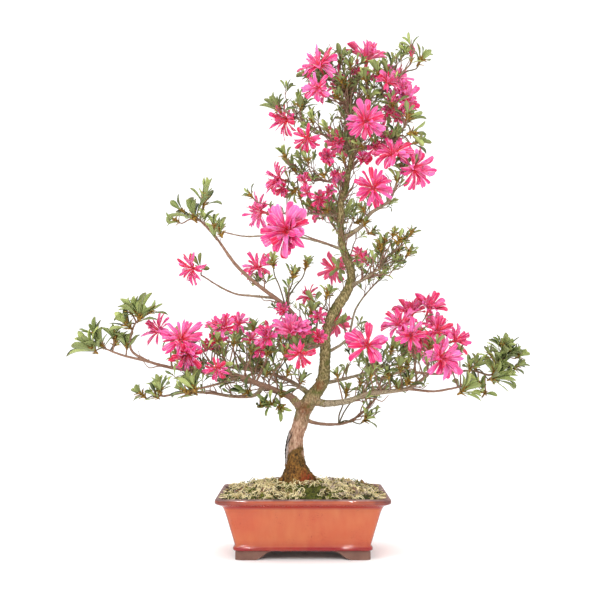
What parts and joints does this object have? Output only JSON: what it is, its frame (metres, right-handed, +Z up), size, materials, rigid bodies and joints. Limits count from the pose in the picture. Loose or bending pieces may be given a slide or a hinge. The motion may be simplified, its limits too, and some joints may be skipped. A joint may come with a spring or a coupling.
{
  "type": "satsuki azalea bonsai",
  "caption": "Flowering azalea bonsai with a curved trunk, strap-petalled pink blooms and small leaves, in a flared glazed pot.",
  "frame": {"origin": "middle of the tree's footprint, on the ground under the pot's feet", "axes": "+Z up the tree, +X to the right along the pot's long side, +Y to the back"},
  "size_m": [0.6698, 0.2434, 0.7444],
  "materials": {
    "glaze": "orange-red gloss glaze, bare brown clay under the feet",
    "mesh": "moulded plastic mesh",
    "soil": "damp granular soil",
    "moss": "short green moss",
    "sphagnum": "dry stringy sphagnum",
    "bark": "flaky bark with moss",
    "petal": "satin petals",
    "leaf": "leathery leaves"
  },
  "bodies": {
    "root": {"pot": "glaze", "drain_mesh": "mesh", "soil": "soil", "moss": "moss", "sphagnum": "sphagnum", "trunk": "bark", "bloom_apex_left": "petal", "bloom_apex": "petal", "bloom_apex_right": "petal", "bloom_crown_front": "petal", "bloom_crown_left": "petal", "bloom_crown_drop": "petal", "bloom_upper_left": "petal", "bloom_mid_left": "petal", "bloom_large": "petal", "bloom_below_large": "petal", "bloom_arched_end": "petal", "bloom_behind_bend": "petal", "bloom_inner": "petal", "bloom_inner_front": "petal", "bloom_behind_trunk": "petal", "bloom_right_front": "petal", "bloom_right_middle": "petal", "bloom_right_top": "petal", "bloom_right_outer": "petal", "bloom_left_outer": "petal", "bloom_left_small": "petal", "bloom_left_drop": "petal", "bloom_shoulder": "petal", "bloom_shoulder_front": "petal", "bloom_back_crown": "petal", "bloom_back_middle": "petal", "bloom_back_left": "petal", "bloom_back_right": "petal", "shoot_left_end": "leaf", "shoot_left_top": "leaf", "shoot_low_back": "leaf", "shoot_low_front": "leaf", "shoot_inner_left": "leaf", "shoot_inner": "leaf", "shoot_under_left": "leaf", "shoot_rising_end": "leaf", "shoot_thin_left": "leaf", "shoot_sprigs_left": "leaf", "shoot_crown_left": "leaf", "shoot_apex_left": "leaf", "shoot_apex_right": "leaf", "shoot_crown_low": "leaf", "shoot_upper_left": "leaf", "shoot_fan": "leaf", "shoot_right_end": "leaf", "shoot_right_low": "leaf", "shoot_right_under": "leaf", "shoot_right_middle": "leaf", "shoot_right_inner": "leaf", "shoot_centre": "leaf", "shoot_back_crown": "leaf", "shoot_back_middle": "leaf", "shoot_back_left": "leaf", "shoot_back_right": "leaf"}
  },
  "joints": []
}
